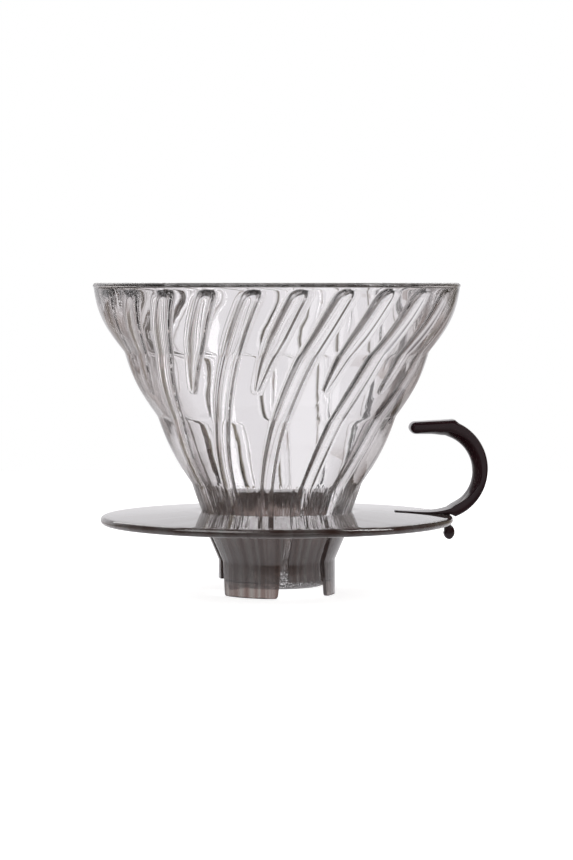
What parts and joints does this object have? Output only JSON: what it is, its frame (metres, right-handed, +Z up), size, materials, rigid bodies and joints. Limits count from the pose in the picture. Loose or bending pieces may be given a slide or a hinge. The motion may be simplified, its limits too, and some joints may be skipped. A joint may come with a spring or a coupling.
{
  "type": "pour over dripper",
  "caption": "Cone-shaped glass coffee dripper with spiral ribs, held in a smoked plastic plate with a split centring sleeve and a hook handle; it stands on a server or mug.",
  "frame": {"origin": "on the cone's axis, in the plane of the plate's flat underside, which rests on the server's mouth", "axes": "+Z up along the cone's axis to the rim, +X towards the handle, +Y away from a viewer who sees the handle on the right"},
  "size_m": [0.1259, 0.117, 0.0991],
  "materials": {
    "clear_glass": "clear, fire polished",
    "smoked_plastic": "glossy, see-through smoke brown",
    "dark_plastic": "glossy, dark smoke brown"
  },
  "bodies": {
    "holder": {"holder": "smoked_plastic", "handle": "dark_plastic"},
    "glass": {"glass_cone": "clear_glass"}
  },
  "joints": [
    {"name": "glass_lift", "type": "slide", "parent": "holder", "child": "glass", "axis": [0, 0, 1], "range_m": [0, 0.06]}
  ]
}
